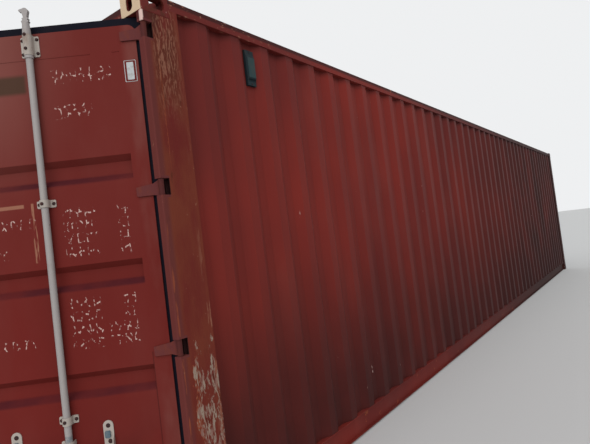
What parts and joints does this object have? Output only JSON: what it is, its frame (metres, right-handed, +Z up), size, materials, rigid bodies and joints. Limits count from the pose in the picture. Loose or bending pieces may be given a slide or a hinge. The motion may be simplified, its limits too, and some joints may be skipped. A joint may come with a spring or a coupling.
{
  "type": "shipping container",
  "caption": "High-cube shipping container with corrugated steel walls, corner castings, plywood floor and two hinged end doors with turning lock rods.",
  "frame": {"origin": "midway between the four bottom corner sockets, on the plane of the castings' undersides", "axes": "+X along the container from the door end to the front end, +Y to the left as seen from outside the doors, +Z up"},
  "size_m": [12.8807, 2.438, 2.896],
  "materials": {
    "wall_paint": "sun-faded maroon paint with dust, scratches and dents",
    "door_paint": "maroon paint, slightly glossy, with brown touch-up patches and streaks",
    "post_paint": "brown-red paint, rusted through, with bare grey-beige patches low down",
    "frame_paint": "maroon paint with rust at edges",
    "casting_paint": "worn maroon paint on cast steel, chalky on the end faces",
    "roof_paint": "weathered maroon paint with surface rust",
    "underside_paint": "dark primer, dusty and rusted",
    "hardware_paint": "grey zinc with chalky cream paint and small chips",
    "seal_rubber": "black rubber with a bluish dusty sheen",
    "vent_plastic": "dark green moulded plastic",
    "floor_wood": "worn brown plywood"
  },
  "bodies": {
    "root": {"castings_door_low": "casting_paint", "castings_door_top": "casting_paint", "castings_front_low": "casting_paint", "castings_front_top": "casting_paint", "door_posts": "post_paint", "front_posts": "frame_paint", "top_rails": "frame_paint", "bottom_rails": "underside_paint", "door_header": "frame_paint", "door_sill": "post_paint", "front_header": "frame_paint", "front_sill": "frame_paint", "side_wall_right": "wall_paint", "side_wall_left": "wall_paint", "front_wall": "wall_paint", "roof_panel": "roof_paint", "roof_plates": "roof_paint", "crossmembers": "underside_paint", "gooseneck_tunnel": "underside_paint", "floor_boards": "floor_wood", "floor_centre_rail": "underside_paint", "vents": "vent_plastic", "hinge_lugs": "post_paint", "cam_keepers": "hardware_paint"},
    "door_right": {"door_right_frame": "door_paint", "door_right_panel": "door_paint", "door_right_seal": "seal_rubber", "door_right_hinges": "door_paint", "door_right_brackets": "hardware_paint", "door_right_catches": "hardware_paint"},
    "door_left": {"door_left_frame": "door_paint", "door_left_panel": "door_paint", "door_left_seal": "seal_rubber", "door_left_hinges": "door_paint", "door_left_brackets": "hardware_paint", "door_left_catches": "hardware_paint"},
    "lock_right_outer": {"rod_right_outer": "hardware_paint", "handle_right_outer": "hardware_paint"},
    "lock_right_inner": {"rod_right_inner": "hardware_paint", "handle_right_inner": "hardware_paint"},
    "lock_left_inner": {"rod_left_inner": "hardware_paint", "handle_left_inner": "hardware_paint"},
    "lock_left_outer": {"rod_left_outer": "hardware_paint", "handle_left_outer": "hardware_paint"}
  },
  "joints": [
    {"name": "door_right_swing", "type": "hinge", "parent": "root", "child": "door_right", "pos_m": [-6.074, -1.197, 1.4715], "axis": [0, 0, 1], "range_deg": [-39, 226]},
    {"name": "door_left_swing", "type": "hinge", "parent": "root", "child": "door_left", "pos_m": [-6.074, 1.197, 1.4715], "axis": [0, 0, -1], "range_deg": [0, 265]},
    {"name": "rod_right_outer_turn", "type": "hinge", "parent": "door_right", "child": "lock_right_outer", "pos_m": [-6.43205, -0.73419, 1.4715], "axis": [0, 0, 1], "range_deg": [-100, 0]},
    {"name": "rod_right_inner_turn", "type": "hinge", "parent": "door_right", "child": "lock_right_inner", "pos_m": [-6.71273, -0.38758, 1.4715], "axis": [0, 0, 1], "range_deg": [-100, 0]},
    {"name": "rod_left_inner_turn", "type": "hinge", "parent": "door_left", "child": "lock_left_inner", "pos_m": [-6.061, 0.166, 1.4715], "axis": [0, 0, -1], "range_deg": [-100, 0]},
    {"name": "rod_left_outer_turn", "type": "hinge", "parent": "door_left", "child": "lock_left_outer", "pos_m": [-6.061, 0.612, 1.4715], "axis": [0, 0, -1], "range_deg": [-100, 0]}
  ]
}
